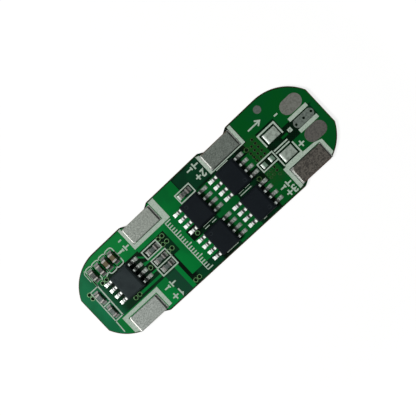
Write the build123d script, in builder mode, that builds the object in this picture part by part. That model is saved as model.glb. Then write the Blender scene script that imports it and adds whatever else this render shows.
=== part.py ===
from build123d import *
import os

# Protection board for three cells in series. Millimetres, +Z up.
# X runs along the board towards the output pads, Y across it.
# The origin is the centre of the board's underside.

# Laminate, copper and solder
board_thickness = 1.0
copper_thickness = 0.035
solder_film = 0.04
solder_rim = 0.03
edge_clearance = 0.22

# Eight-pin package
package_width = 3.9
package_length = 4.9
package_height = 1.5
package_standoff = 0.12
parting_height = 0.72
mould_draft = 15
top_bevel = 0.18
pin_bevel = 0.28
dimple_diameter = 0.55
dimple_depth = 0.05
dimple_inset = 0.85
leads_per_side = 4
lead_pitch = 1.27
lead_width = 0.42
lead_thickness = 0.2
lead_span = 6.0
lead_foot = 0.6
lead_shoulder = 0.33
lead_root = 0.4
lead_bevel = 0.13
lead_land_width = 0.64
lead_land_heel = 0.35
package_land_span = 7.45
lead_solder_grip = 0.03
toe_climb = 0.16

# Two-terminal chips
chip_length = 1.6
chip_width = 0.8
resistor_height = 0.45
resistor_cap = 0.3
capacitor_height = 0.8
capacitor_cap = 0.36
cap_thickness = 0.03
cap_bevel = 0.05
coat_thickness = 0.02
coat_margin = 0.05
chip_land_span = 2.6
chip_land_gap = 0.8
chip_land_width = 0.94
chip_solder_climb = 0.6
solder_hollow = 0.35

# Cell tabs
tab_length = 6.2
tab_width = 3.1
tab_thickness = 0.22
tab_rise = 0.42
tab_bend = 0.26
tab_lean = 0.09
tab_corner = 0.32
tab_solder_reach = 0.16
tab_solder_climb = 0.14
tab_solder_slope = 0.25
tab_step = 9.4
notch_depth = 0.6
notch_flat = 4.2
notch_ramp = 1.05
notch_round = 0.7

# Spacings along the board, from the controller's end to the output pads
left_margin = 2.4
column_gap = 1.5
middle_gap = 1.6
open_strip = 5.1
transistor_gap = 0.55
spare_gap = 0.7
spare_pad_length = 0.95
spare_pad_width = 0.92
spare_pair_span = 2.55
shunt_gap = 0.75
shunt_pad_length = 2.6
shunt_pad_width = 1.76
output_gap = 2.3
output_pad_length = 3.98
output_pad_width = 2.56
sense_pad_width = 1.54
right_margin = 1.3
end_trim = 0.785
end_corner = 0.5

# Spacings across the board
row_margin = 0.86
row_gap = 0.92
tab_clearance = 0.72
controller_clearance = 2.3
group_clearance = 0.9
bias_clearance = 0.65
group_pitch = 1.54
group_overhang = 0.1
column_clearance = 0.5
column_drop = 0.4
middle_upper_step = 2.05
middle_lower_step = 1.67
middle_drop = 0.95
negative_pad_step = 3.07
positive_pad_step = 2.87
bias_shift = 0.2
sense_pad_y = 0.36
shunt_upper_y = 1.9
shunt_lower_y = -2.14
spare_pad_y = -0.92
mark_diameter = 1.34
mark_inset = 1.55
mark_offset = 1.1

# Bare pads
pad_coat = 0.05
dome_height = 0.16
dome_round = 0.12
small_dome_height = 0.12
small_dome_round = 0.09
sense_hole = 0.32
sense_hole_pitch = 1.57

# Plated holes
via_hole = 0.34

# Board outline, as the sum of what it carries
board_length = (
    left_margin + chip_land_width + column_gap + package_land_span + middle_gap + chip_land_span
    + open_strip + package_land_span + transistor_gap + package_land_span + spare_gap
    + spare_pair_span + shunt_gap + shunt_pad_length + output_gap + output_pad_length + right_margin
)
board_width = (
    row_margin + 2 * package_length + row_gap + tab_clearance + tab_width + notch_depth
)
half_length = board_length / 2
half_width = board_width / 2
land_top = board_thickness + copper_thickness
seat_top = land_top + solder_film
lead_land_length = (package_land_span - lead_span) / 2 + lead_foot + lead_land_heel
chip_land_length = (chip_land_span - chip_land_gap) / 2

# Places along the board
column_x = -half_length + left_margin + chip_land_width / 2
controller_x = column_x + chip_land_width / 2 + column_gap + package_land_span / 2
middle_x = controller_x + package_land_span / 2 + middle_gap + chip_land_span / 2
left_pair_x = middle_x + chip_land_span / 2 + open_strip + package_land_span / 2
right_pair_x = left_pair_x + package_land_span + transistor_gap
spare_x = right_pair_x + package_land_span / 2 + spare_gap + spare_pair_span / 2
shunt_x = spare_x + spare_pair_span / 2 + shunt_gap + shunt_pad_length / 2
output_x = shunt_x + shunt_pad_length / 2 + output_gap + output_pad_length / 2
group_x = controller_x - package_land_span / 2 - group_overhang
end_arc_x = half_length + end_trim - half_width
outer_tab_x = end_arc_x
inner_tab_x = outer_tab_x - tab_step

# Places across the board
lower_row_y = -half_width + row_margin + package_length / 2
upper_row_y = lower_row_y + package_length + row_gap
tab_y = half_width - notch_depth - tab_width / 2
controller_y = -tab_y + tab_width / 2 + controller_clearance + package_length / 2
group_y = controller_y + package_length / 2 + group_clearance + chip_land_span / 2
column_y = controller_y - column_drop
column_pitch = chip_land_span + column_clearance
middle_y = controller_y - middle_drop
bias_x = left_pair_x + bias_shift
bias_y = upper_row_y + package_length / 2 + bias_clearance + chip_land_width / 2
negative_pad_y = sense_pad_y + negative_pad_step
positive_pad_y = sense_pad_y - positive_pad_step

cell_tabs = {
    "cell_tab_negative": (-inner_tab_x, tab_y),
    "cell_tab_first": (-outer_tab_x, -tab_y),
    "cell_tab_second": (inner_tab_x, tab_y),
    "cell_tab_third": (outer_tab_x, -tab_y),
}

packages = {
    "controller": (controller_x, controller_y, 0),
    "transistor_1": (left_pair_x, upper_row_y, 0),
    "transistor_2": (left_pair_x, lower_row_y, 0),
    "transistor_3": (right_pair_x, upper_row_y, 180),
    "transistor_4": (right_pair_x, lower_row_y, 180),
}

resistors = {
    "resistor_1": (column_x, column_y + column_pitch / 2, 90),
    "resistor_2": (column_x, column_y - column_pitch / 2, 90),
    "resistor_3": (group_x, group_y, 90),
    "resistor_4": (group_x + group_pitch, group_y, 90),
    "resistor_5": (middle_x, middle_y + middle_upper_step, 0),
    "resistor_6": (middle_x, middle_y, 0),
    "resistor_7": (middle_x, middle_y - middle_lower_step, 0),
    "resistor_8": (bias_x, bias_y, 0),
}

capacitors = {
    "capacitor_1": (group_x + 2 * group_pitch, group_y, 90),
    "capacitor_2": (group_x + 3 * group_pitch, group_y, 90),
}


def places(table):
    return [Location((x, y, 0), (0, 0, turn)) for x, y, turn in table.values()]


def save_placed(form, place, label):
    with BuildPart() as piece:
        with Locations(place):
            add(form.part)
    piece.part.label = label
    export_step(piece.part, f"parts/{label}.step")


def area(x_low, x_high, y_low, y_high, mode=Mode.ADD):
    with Locations(((x_low + x_high) / 2, (y_low + y_high) / 2)):
        Rectangle(x_high - x_low, y_high - y_low, mode=mode)


os.makedirs("parts", exist_ok=True)

# Gull-wing lead: flat root in the body, shoulder, steep leg and foot
with BuildPart() as lead:
    lead_underside = seat_top + package_standoff + parting_height - lead_thickness / 2
    with BuildSketch(Plane.XZ) as lead_side:
        with BuildLine():
            Polyline(
                (package_width / 2 - lead_root, lead_underside),
                (package_width / 2 + lead_shoulder, lead_underside),
                (lead_span / 2 - lead_foot, seat_top),
                (lead_span / 2, seat_top),
            )
            offset(amount=lead_thickness, side=Side.LEFT, kind=Kind.INTERSECTION)
        make_face()
        corners = lead_side.vertices().filter_by(
            lambda point: package_width / 2 < point.X < lead_span / 2 - lead_thickness
        )
        outer_corners = [corners.sort_by(Axis.Y)[-1], corners.sort_by(Axis.Y)[0]]
        chamfer(outer_corners, lead_bevel)
    extrude(amount=lead_width / 2, both=True)

# Solder seat of one lead: film over the land and a hollow fillet up the toe, narrowing as it climbs
with BuildPart() as lead_seat:
    toe = lead_span / 2
    toe_top = seat_top + toe_climb
    land_end = package_land_span / 2
    land_heel = land_end - lead_land_length
    with BuildSketch(Plane.XZ) as seat_side:
        with BuildLine():
            Polyline(
                (land_heel, land_top),
                (land_end, land_top),
                (land_end, land_top + solder_rim),
                (toe + solder_hollow * (land_end - toe), land_top + solder_hollow * (toe_top - land_top)),
                (toe, toe_top),
                (toe, seat_top),
                (land_heel, seat_top),
                close=True,
            )
        make_face()
    extrude(amount=lead_land_width / 2, both=True)
    with BuildSketch(Plane.YZ) as seat_front:
        with BuildLine():
            Polyline(
                (-lead_land_width / 2, land_top),
                (lead_land_width / 2, land_top),
                (lead_land_width / 2, seat_top),
                (lead_width / 2 + lead_solder_grip, toe_top),
                (-lead_width / 2 - lead_solder_grip, toe_top),
                (-lead_land_width / 2, seat_top),
                close=True,
            )
        make_face()
    extrude(amount=package_land_span, mode=Mode.INTERSECT)

# The eight leads of one package, and their eight solder seats
with BuildPart() as package_leads:
    with GridLocations(0, lead_pitch, 1, leads_per_side):
        add(lead.part)
    mirror(about=Plane.YZ)

with BuildPart() as package_seats:
    with GridLocations(0, lead_pitch, 1, leads_per_side):
        add(lead_seat.part)
    mirror(about=Plane.YZ)

# Moulded body: two drafted halves on the parting plane, bevelled round the top and more along pin one
with BuildPart() as package_body:
    parting = Plane.XY.offset(seat_top + package_standoff + parting_height)
    with BuildSketch(parting):
        Rectangle(package_width, package_length)
    extrude(amount=package_height - parting_height, taper=mould_draft)
    with BuildSketch(parting):
        Rectangle(package_width, package_length)
    extrude(amount=-parting_height, taper=mould_draft)
    bevel_edge = package_body.faces().sort_by(Axis.Z)[-1].edges().sort_by(Axis.X)[0]
    chamfer(bevel_edge, pin_bevel)
    other_edges = package_body.faces().sort_by(Axis.Z)[-1].edges().sort_by(Axis.X)[1:]
    chamfer(other_edges, top_bevel)
    with BuildSketch(parting.offset(package_height - parting_height)):
        with Locations((dimple_inset + pin_bevel / 2 - package_width / 2, package_length / 2 - dimple_inset)):
            Circle(dimple_diameter / 2)
    extrude(amount=-dimple_depth, mode=Mode.SUBTRACT)
    add(package_leads.part, mode=Mode.SUBTRACT)

for name, (x, y, turn) in packages.items():
    spot = Location((x, y, 0), (0, 0, turn))
    save_placed(package_body, spot, f"{name}_body")
    save_placed(package_leads, spot, f"{name}_leads")
    save_placed(package_seats, spot, f"{name}_solder")


# Two-terminal chip: ceramic body in a pair of end caps
def chip_body(height, cap_length, coated):
    with BuildPart() as body:
        with BuildSketch(Plane.XY.offset(seat_top + cap_thickness)):
            Rectangle(chip_length - 2 * cap_thickness, chip_width - 2 * cap_thickness)
        extrude(amount=height - 2 * cap_thickness)
        if coated:
            with BuildSketch(Plane.XY.offset(seat_top + height - cap_thickness)):
                coat_length = chip_length - 2 * cap_length - 2 * coat_margin
                Rectangle(coat_length, chip_width - 2 * cap_thickness - coat_margin)
            extrude(amount=coat_thickness)
    return body


def chip_caps(body, height, cap_length):
    with BuildPart() as caps:
        with BuildSketch(Plane.XY.offset(seat_top)):
            with GridLocations(chip_length - cap_length, 0, 2, 1):
                Rectangle(cap_length, chip_width)
        extrude(amount=height)
        outer_ends = caps.faces().group_by(lambda face: round(abs(face.center().X), 3))[-1]
        chamfer(outer_ends.edges(), cap_bevel)
        add(body.part, mode=Mode.SUBTRACT)
    return caps


# Solder seats of one chip: film over each land and a hollow fillet up the cap's end
def chip_seats(height):
    with BuildPart() as seats:
        cap_end = chip_length / 2
        climb = seat_top + chip_solder_climb * height
        land_outer = chip_land_span / 2
        land_inner = chip_land_gap / 2
        with BuildSketch(Plane.XZ):
            with BuildLine():
                Polyline(
                    (land_inner, land_top),
                    (land_outer, land_top),
                    (land_outer, land_top + solder_rim),
                    (
                        cap_end + solder_hollow * (land_outer - cap_end),
                        land_top + solder_hollow * (climb - land_top),
                    ),
                    (cap_end, climb),
                    (cap_end, seat_top),
                    (land_inner, seat_top),
                    close=True,
                )
            make_face()
        extrude(amount=chip_land_width / 2, both=True)
        with BuildSketch(Plane.YZ):
            with BuildLine():
                Polyline(
                    (-chip_land_width / 2, land_top),
                    (chip_land_width / 2, land_top),
                    (chip_land_width / 2, seat_top),
                    (chip_width / 2 - cap_bevel, climb),
                    (cap_bevel - chip_width / 2, climb),
                    (-chip_land_width / 2, seat_top),
                    close=True,
                )
            make_face()
        extrude(amount=chip_land_span, mode=Mode.INTERSECT)
        mirror(about=Plane.YZ)
    return seats


resistor_body = chip_body(resistor_height, resistor_cap, coated=True)
resistor_caps = chip_caps(resistor_body, resistor_height, resistor_cap)
resistor_seats = chip_seats(resistor_height)
capacitor_body = chip_body(capacitor_height, capacitor_cap, coated=False)
capacitor_caps = chip_caps(capacitor_body, capacitor_height, capacitor_cap)
capacitor_seats = chip_seats(capacitor_height)

for name, (x, y, turn) in resistors.items():
    spot = Location((x, y, 0), (0, 0, turn))
    save_placed(resistor_body, spot, f"{name}_body")
    save_placed(resistor_caps, spot, f"{name}_caps")

for name, (x, y, turn) in capacitors.items():
    spot = Location((x, y, 0), (0, 0, turn))
    save_placed(capacitor_body, spot, f"{name}_body")
    save_placed(capacitor_caps, spot, f"{name}_caps")

with BuildPart() as chip_solder:
    with Locations(*places(resistors)):
        add(resistor_seats.part)
    with Locations(*places(capacitors)):
        add(capacitor_seats.part)
chip_solder.part.label = "chip_solder"
export_step(chip_solder.part, "parts/chip_solder.step")

# Cell tab: plate with both ends rolled down on to its land
with BuildPart() as tab:
    with BuildSketch(Plane.XZ) as tab_side:
        with BuildLine():
            FilletPolyline(
                (-tab_length / 2, seat_top),
                (-tab_length / 2 + tab_lean, land_top + tab_rise),
                (tab_length / 2 - tab_lean, land_top + tab_rise),
                (tab_length / 2, seat_top),
                radius=tab_bend,
            )
            offset(amount=tab_thickness, side=Side.RIGHT)
        make_face()
    extrude(amount=tab_width / 2, both=True)
    with BuildSketch(Plane.XY.offset(seat_top)) as tab_plan:
        Rectangle(tab_length, tab_width)
        chamfer(tab_plan.vertices(), tab_corner)
    extrude(amount=tab_rise, mode=Mode.INTERSECT)

# Solder under a tab: fills the plate's hollow, carries its two edges and shows as a bead past them
with BuildPart() as tab_seat:
    with BuildSketch(Plane.XZ) as tab_seat_side:
        with BuildLine():
            tab_end = tab_length / 2
            tab_foot = tab_end - tab_thickness - tab_lean / 2
            tab_climb = tab_solder_climb / (tab_rise - solder_film)
            Polyline(
                (0, land_top),
                (tab_end + tab_solder_reach, land_top),
                (tab_end + tab_solder_reach, land_top + solder_rim),
                (tab_end - tab_lean * tab_climb, seat_top + tab_solder_climb),
                (tab_end, seat_top),
                (tab_foot, seat_top),
                (tab_foot - tab_solder_slope, land_top + tab_rise - tab_thickness),
                (0, land_top + tab_rise - tab_thickness),
                close=True,
            )
        make_face()
        mirror(about=Plane.YZ)
    extrude(amount=tab_width / 2, both=True)

for name, (x, y) in cell_tabs.items():
    save_placed(tab, Location((x, y, 0)), name)

with BuildPart() as tab_solder:
    with Locations(*cell_tabs.values()):
        add(tab_seat.part)
tab_solder.part.label = "tab_solder"
export_step(tab_solder.part, "parts/tab_solder.step")

# Output pads: two long round-ended pads with the narrow sense pad between them
with BuildPart() as output_pad_negative:
    with BuildSketch(Plane.XY.offset(land_top)):
        with Locations((output_x, negative_pad_y)):
            SlotOverall(output_pad_length, output_pad_width)
    extrude(amount=pad_coat)
output_pad_negative.part.label = "output_pad_negative"
export_step(output_pad_negative.part, "parts/output_pad_negative.step")

with BuildPart() as output_pad_positive:
    with BuildSketch(Plane.XY.offset(land_top)):
        with Locations((output_x, positive_pad_y)):
            SlotOverall(output_pad_length, output_pad_width)
    extrude(amount=pad_coat)
output_pad_positive.part.label = "output_pad_positive"
export_step(output_pad_positive.part, "parts/output_pad_positive.step")

with BuildPart() as sense_pad:
    with BuildSketch(Plane.XY.offset(land_top)):
        with Locations((output_x, sense_pad_y)):
            SlotOverall(output_pad_length, sense_pad_width)
            with GridLocations(sense_hole_pitch, 0, 3, 1):
                Circle(sense_hole / 2, mode=Mode.SUBTRACT)
    extrude(amount=pad_coat)
sense_pad.part.label = "sense_pad"
export_step(sense_pad.part, "parts/sense_pad.step")

# Empty pads, left with domed solder
for name, y in {"shunt_pad_upper": shunt_upper_y, "shunt_pad_lower": shunt_lower_y}.items():
    with BuildPart() as shunt_pad:
        with BuildSketch(Plane.XY.offset(land_top)):
            with Locations((shunt_x, y)):
                Rectangle(shunt_pad_length, shunt_pad_width)
        extrude(amount=dome_height)
        fillet(shunt_pad.faces().sort_by(Axis.Z)[-1].edges(), dome_round)
    shunt_pad.part.label = name
    export_step(shunt_pad.part, f"parts/{name}.step")

with BuildPart() as spare_pads:
    with BuildSketch(Plane.XY.offset(land_top)):
        with Locations((spare_x, spare_pad_y)):
            with GridLocations(spare_pair_span - spare_pad_length, 0, 2, 1):
                Rectangle(spare_pad_length, spare_pad_width)
    extrude(amount=small_dome_height)
    fillet(spare_pads.faces().group_by(Axis.Z)[-1].edges(), small_dome_round)
spare_pads.part.label = "spare_pads"
export_step(spare_pads.part, "parts/spare_pads.step")

# Round alignment mark
with BuildPart() as alignment_mark:
    with BuildSketch(Plane.XY.offset(land_top)):
        with Locations((shunt_x + mark_offset, half_width - mark_inset)):
            Circle(mark_diameter / 2)
    extrude(amount=pad_coat)
alignment_mark.part.label = "alignment_mark"
export_step(alignment_mark.part, "parts/alignment_mark.step")

# Plated holes, each group placed from the piece that it serves
between_rows_y = (upper_row_y + lower_row_y) / 2
via_groups = {
    "column": (column_x - 1.07, column_y + 2.75, [(0, 0.42), (0, -0.42)]),
    "group": (group_x + 0.64, controller_y + 2.7, [(-0.44, 0), (0.44, 0)]),
    "supply": (controller_x - 0.7, controller_y - 2.95, [(-0.46, 0), (0.46, 0)]),
    "timing": (controller_x + 4.25, controller_y - 0.93, [(0, 0)]),
    "upper_bias": (middle_x + 2.29, middle_y + middle_upper_step, [(-0.42, 0.6), (0.42, 0.6)]),
    "lower_bias": (middle_x + 2.29, middle_y + middle_upper_step, [(-0.42, -0.6), (0.42, -0.6)]),
    "cell_bias": (middle_x + 2.14, middle_y, [(-0.42, 0), (0.42, 0)]),
    "edge": (middle_x + 2.22, 0.88 - half_width, [(-0.42, 0), (0.42, 0)]),
    "left_gate": (left_pair_x - 2.7, between_rows_y + 0.2, [(0, 0)]),
    "right_source": (right_pair_x + 4.48, upper_row_y + 1.75, [(0, 0)]),
    "right_gate": (right_pair_x + 2.8, between_rows_y - 0.22, [(0, 0)]),
}
via_places = [
    (x + step_x, y + step_y)
    for x, y, steps in via_groups.values()
    for step_x, step_y in steps
]

# Copper areas under the mask, as x and y limits
tab_inner_y = tab_y - tab_width / 2
pours = {
    "first_cell": (column_x - 0.85, middle_x - 1.6, -half_width, -tab_inner_y + 1.0),
    "negative": (column_x + 0.85, left_pair_x - 0.05, group_y - 1.55, half_width),
    "negative_step": (controller_x + 1.65, middle_x - 2.0, group_y - 2.0, group_y),
    "negative_neck": (middle_x - 2.1, middle_x + 3.4, group_y - 2.4, group_y),
    "negative_column": (middle_x + 3.4, left_pair_x - 2.0, 2.0 - half_width, group_y),
    "negative_foot": (middle_x + 2.07, middle_x + 3.5, 2.0 - half_width, middle_y - 1.05),
    "second_link": (middle_x + 0.57, middle_x + 1.38, -half_width, middle_y - 2.6),
    "supply_trace": (controller_x - 0.2, middle_x - 1.9, controller_y - 3.25, controller_y - 2.78),
    "timing_trace": (controller_x + 3.7, middle_x - 1.3, controller_y - 2.0, controller_y - 1.65),
    "bias_trace": (controller_x + 3.7, middle_x - 1.3, controller_y - 0.1, controller_y + 0.15),
    "drain_link": (left_pair_x + 1.7, right_pair_x - 1.7, -half_width, upper_row_y + 2.4),
    "source_strip": (right_pair_x + 2.6, right_pair_x + 4.5, between_rows_y + 1.7, upper_row_y + 1.25),
    "source_trace": (right_pair_x + 3.6, right_pair_x + 4.5, upper_row_y + 1.6, upper_row_y + 2.0),
    "source_block": (right_pair_x + 2.6, spare_x + 1.0, -half_width, lower_row_y + 1.4),
    "source_rise": (right_pair_x + 4.0, spare_x + 1.0, lower_row_y, spare_pad_y - 1.0),
    "field": (spare_x - 1.05, spare_x + 1.4, spare_pad_y + 0.8, upper_row_y + 2.7),
    "output_negative": (spare_x - 0.4, half_length, upper_row_y + 2.6, half_width),
    "output_neck": (shunt_x + 1.95, half_length, sense_pad_y + 1.2, upper_row_y + 2.7),
    "output_positive": (output_x - 2.0, half_length, -half_width, sense_pad_y + 0.9),
    "positive_neck": (shunt_x + 1.7, output_x, -tab_inner_y + 0.4, sense_pad_y - 1.5),
    "sense_trace": (shunt_x + 0.85, shunt_x + 2.1, sense_pad_y - 0.25, sense_pad_y + 0.15),
}
bare_patches = {
    "left_gate": (left_pair_x - 4.05, left_pair_x - 2.0, between_rows_y - 0.45, between_rows_y + 1.7),
    "sense_moat": (output_x - 2.2, output_x + 2.15, sense_pad_y - 0.98, sense_pad_y + 0.98),
}

# Board: laminate and mask, with the copper areas and lands standing proud, one solid
with BuildPart() as circuit_board:
    with BuildSketch() as outline:
        SlotOverall(board_length + 2 * end_trim, board_width)
        Rectangle(board_length, board_width, mode=Mode.INTERSECT)
        for x, y in cell_tabs.values():
            side = 1 if y > 0 else -1
            outward = 1 if x > 0 else -1
            floor_y = side * (half_width - notch_depth)
            open_y = side * (half_width + notch_depth)
            flat = outward * notch_flat / 2
            mouth = flat + outward * 2 * notch_ramp
            # The outer notches run straight out into the round end
            outer_y = floor_y if abs(x) == outer_tab_x else open_y
            with BuildLine():
                Polyline(
                    (x - mouth, open_y),
                    (x - flat, floor_y),
                    (x + flat, floor_y),
                    (x + mouth, outer_y),
                    (x + mouth, open_y + side),
                    (x - mouth, open_y + side),
                    close=True,
                )
            make_face(mode=Mode.SUBTRACT)
        notch_corners = outline.vertices().filter_by(
            lambda point: abs(point.Y) > tab_y + tab_width / 2 - 0.01
            and abs(abs(point.X) - end_arc_x) > 0.01
        )
        fillet(notch_corners, notch_round)
        end_corners = outline.vertices().group_by(lambda point: round(abs(point.X), 3))[-1]
        fillet(end_corners, end_corner)
    extrude(amount=board_thickness)
    copper_limit = offset(outline.sketch, amount=-edge_clearance, mode=Mode.PRIVATE)
    with BuildSketch(Plane.XY.offset(board_thickness)) as copper:
        for limits in pours.values():
            area(*limits)
        for limits in bare_patches.values():
            area(*limits, mode=Mode.SUBTRACT)
        add(copper_limit, mode=Mode.INTERSECT)
        with Locations(*places(packages)):
            with GridLocations(package_land_span - lead_land_length, lead_pitch, 2, leads_per_side):
                Rectangle(lead_land_length, lead_land_width)
        with Locations(*places(resistors), *places(capacitors)):
            with GridLocations(chip_land_span - chip_land_length, 0, 2, 1):
                Rectangle(chip_land_length, chip_land_width)
        with Locations(*cell_tabs.values()):
            Rectangle(tab_length + 2 * tab_solder_reach, tab_width)
        with Locations((output_x, negative_pad_y), (output_x, positive_pad_y)):
            SlotOverall(output_pad_length, output_pad_width)
        with Locations((output_x, sense_pad_y)):
            SlotOverall(output_pad_length, sense_pad_width)
        with Locations((shunt_x, shunt_upper_y), (shunt_x, shunt_lower_y)):
            Rectangle(shunt_pad_length, shunt_pad_width)
        with Locations((spare_x, spare_pad_y)):
            with GridLocations(spare_pair_span - spare_pad_length, 0, 2, 1):
                Rectangle(spare_pad_length, spare_pad_width)
        with Locations((shunt_x + mark_offset, half_width - mark_inset)):
            Circle(mark_diameter / 2)
        add(outline.sketch, mode=Mode.INTERSECT)
    extrude(amount=copper_thickness)
    with BuildSketch() as drills:
        with Locations(*via_places):
            Circle(via_hole / 2)
        with Locations((output_x, sense_pad_y)):
            with GridLocations(sense_hole_pitch, 0, 3, 1):
                Circle(sense_hole / 2)
    extrude(amount=land_top, mode=Mode.SUBTRACT)
circuit_board.part.label = "circuit_board"
export_step(circuit_board.part, "parts/circuit_board.step")
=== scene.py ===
import math

import bmesh
import bpy
from mathutils import Matrix, Vector


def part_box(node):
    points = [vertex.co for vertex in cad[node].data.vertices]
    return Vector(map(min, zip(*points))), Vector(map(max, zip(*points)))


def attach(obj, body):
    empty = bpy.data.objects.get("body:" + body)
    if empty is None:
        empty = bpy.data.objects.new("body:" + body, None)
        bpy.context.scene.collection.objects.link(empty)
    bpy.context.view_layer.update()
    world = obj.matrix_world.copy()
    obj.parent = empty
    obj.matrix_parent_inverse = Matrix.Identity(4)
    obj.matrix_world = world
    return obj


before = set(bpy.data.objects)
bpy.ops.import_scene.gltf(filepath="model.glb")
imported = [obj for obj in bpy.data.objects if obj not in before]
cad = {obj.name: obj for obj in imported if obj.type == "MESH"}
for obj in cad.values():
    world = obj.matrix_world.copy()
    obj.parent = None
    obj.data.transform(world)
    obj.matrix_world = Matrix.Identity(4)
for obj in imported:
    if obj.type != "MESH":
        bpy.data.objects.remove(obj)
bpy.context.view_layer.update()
mm = 0.001
print("frame loaded,", len(cad), "cad nodes")


def srgb(red, green, blue):
    # screen values 0-255 to a linear colour
    linear = []
    for part in (red, green, blue):
        part = part / 255
        linear.append(part / 12.92 if part <= 0.04045 else ((part + 0.055) / 1.055) ** 2.4)
    return (*linear, 1.0)


# node helpers

class Signal:
    # a node's output that can be used in sums
    def __init__(self, nodes, socket):
        self.nodes = nodes
        self.socket = socket

    def other(self, name):
        # another output of the same node
        return Signal(self.nodes, self.socket.node.outputs[name])

    def __add__(self, value):
        return self.nodes.maths("ADD", self, value)

    def __radd__(self, value):
        return self.nodes.maths("ADD", value, self)

    def __sub__(self, value):
        return self.nodes.maths("SUBTRACT", self, value)

    def __rsub__(self, value):
        return self.nodes.maths("SUBTRACT", value, self)

    def __mul__(self, value):
        return self.nodes.maths("MULTIPLY", self, value)

    def __rmul__(self, value):
        return self.nodes.maths("MULTIPLY", value, self)

    def __gt__(self, value):
        return self.nodes.maths("GREATER_THAN", self, value)

    def __lt__(self, value):
        return self.nodes.maths("LESS_THAN", self, value)


class Nodes:
    # adds nodes to one tree
    def __init__(self, tree):
        self.tree = tree
        tree.nodes.clear()

    def add(self, kind, settings=None, sockets=None, output=0):
        # settings are set first, then the values or links of the sockets
        node = self.tree.nodes.new(kind)
        for name, value in (settings or {}).items():
            setattr(node, name, value)
        for name, value in (sockets or {}).items():
            if isinstance(value, Signal):
                self.tree.links.new(value.socket, node.inputs[name])
            else:
                node.inputs[name].default_value = value
        return Signal(self, node.outputs[output]) if output is not None else node

    def maths(self, operation, *values):
        return self.add("ShaderNodeMath", {"operation": operation}, dict(enumerate(values)))

    def largest(self, value, *others):
        for other in others:
            value = self.maths("MAXIMUM", value, other)
        return value

    def showsBackground(self):
        # one for rays from the camera, in gloss and through glass
        rays = self.add("ShaderNodeLightPath", {}, {}, "Is Camera Ray")
        return self.largest(rays, rays.other("Is Glossy Ray"), rays.other("Is Transmission Ray"))


class Finish(Nodes):
    # one material with a principled shader, and its places in mm
    def __init__(self, title, **fixed):
        self.material = bpy.data.materials.new(title)
        self.material.use_nodes = True
        super().__init__(self.material.node_tree)
        self.surface = self.add("ShaderNodeBsdfPrincipled")
        self.output = self.add("ShaderNodeOutputMaterial", {}, {"Surface": self.surface}, None)
        self.inputs = self.surface.socket.node.inputs
        for name, value in fixed.items():
            self.inputs[name.replace("_", " ")].default_value = value
        coords = self.add("ShaderNodeTexCoord", {}, {}, "Object")
        self.place = self.add("ShaderNodeVectorMath", {"operation": "SCALE"}, {0: coords, "Scale": 1 / mm})
        self.x = self.add("ShaderNodeSeparateXYZ", {}, {0: self.place})
        self.y = self.x.other("Y")
        self.z = self.x.other("Z")
        self.facing = self.add("ShaderNodeSeparateXYZ", {}, {0: coords.other("Normal")}, "Z")

    def step(self, value, low, high, first=0.0, last=1.0):
        # smooth change from first to last while value goes from low to high
        return self.add(
            "ShaderNodeMapRange", {"interpolation_type": "SMOOTHSTEP"},
            {0: value, 1: low, 2: high, 3: first, 4: last},
        )

    def fall(self, value, low, high):
        return self.step(value, low, high, 1.0, 0.0)

    def between(self, value, low, high, soft):
        return self.step(value, low - soft, low + soft) * self.fall(value, high - soft, high + soft)

    def inside(self, left, right, low, high, soft=0.05):
        # one inside a rectangle of the board
        return self.between(self.x, left, right, soft) * self.between(self.y, low, high, soft)

    def noise(self, scale, detail, stretch=None, rough=0.5):
        place = self.place
        if stretch:
            place = self.add("ShaderNodeVectorMath", {"operation": "MULTIPLY"}, {0: place, 1: stretch})
        return self.add(
            "ShaderNodeTexNoise", {},
            {"Vector": place, "Scale": scale, "Detail": detail, "Roughness": rough},
        )

    def mix(self, factor, first, second):
        return self.add("ShaderNodeMix", {"data_type": "RGBA"}, {0: factor, 6: first, 7: second}, 2)

    def feed(self, **sockets):
        for name, value in sockets.items():
            self.tree.links.new(value.socket, self.inputs[name.replace("_", " ")])
        return self

    def bump(self, height, depth, strength):
        # depth in mm
        return self.feed(Normal=self.add(
            "ShaderNodeBump", {}, {"Strength": strength, "Distance": depth * mm, "Height": height}
        ))


def dress(finish, *names):
    for name in names:
        mesh = cad[name].data
        mesh.materials.clear()
        mesh.materials.append(finish.material)


def nodesOf(kind, part):
    # such as transistor_1_body, transistor_2_body and so on
    return sorted(name for name in cad if name.startswith(kind + "_") and name.endswith("_" + part))


def newPiece(name, bm, finish, smooth=None):
    mesh = bpy.data.meshes.new(name)
    bmesh.ops.recalc_face_normals(bm, faces=bm.faces)
    bmesh.ops.scale(bm, vec=(mm, mm, mm), verts=bm.verts)
    bm.to_mesh(mesh)
    bm.free()
    mesh.materials.append(finish.material)
    if smooth is not None:
        mesh.shade_smooth()
        mesh.set_sharp_from_angle(angle=math.radians(smooth))
    piece = bpy.data.objects.new(name, mesh)
    bpy.context.scene.collection.objects.link(piece)
    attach(piece, "root")
    print("piece", name, len(mesh.polygons), "faces")


# camera, light and floor

cameraView = {
    "place": (9.38, 1.48, 83.05),  # mm
    "right": (0.7266, -0.6841, -0.0631),
    "up": (0.6797, 0.7292, -0.0792),
    "focal": 500,  # in pixels of the frame
    "frame": 416,
    "sensor": 36,
    "clip": (0.002, 20),
}
right = Vector(cameraView["right"]).normalized()
up = Vector(cameraView["up"])
up = (up - right * up.dot(right)).normalized()
camera = bpy.data.objects.new("camera", bpy.data.cameras.new("camera"))
camera.data.sensor_width = cameraView["sensor"]
camera.data.lens = cameraView["focal"] / cameraView["frame"] * cameraView["sensor"]
camera.data.clip_start, camera.data.clip_end = cameraView["clip"]
turned = Matrix((right, up, right.cross(up))).transposed().to_4x4()
camera.matrix_world = Matrix.Translation(Vector(cameraView["place"]) * mm) @ turned
bpy.context.scene.collection.objects.link(camera)
bpy.context.scene.camera = camera

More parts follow.
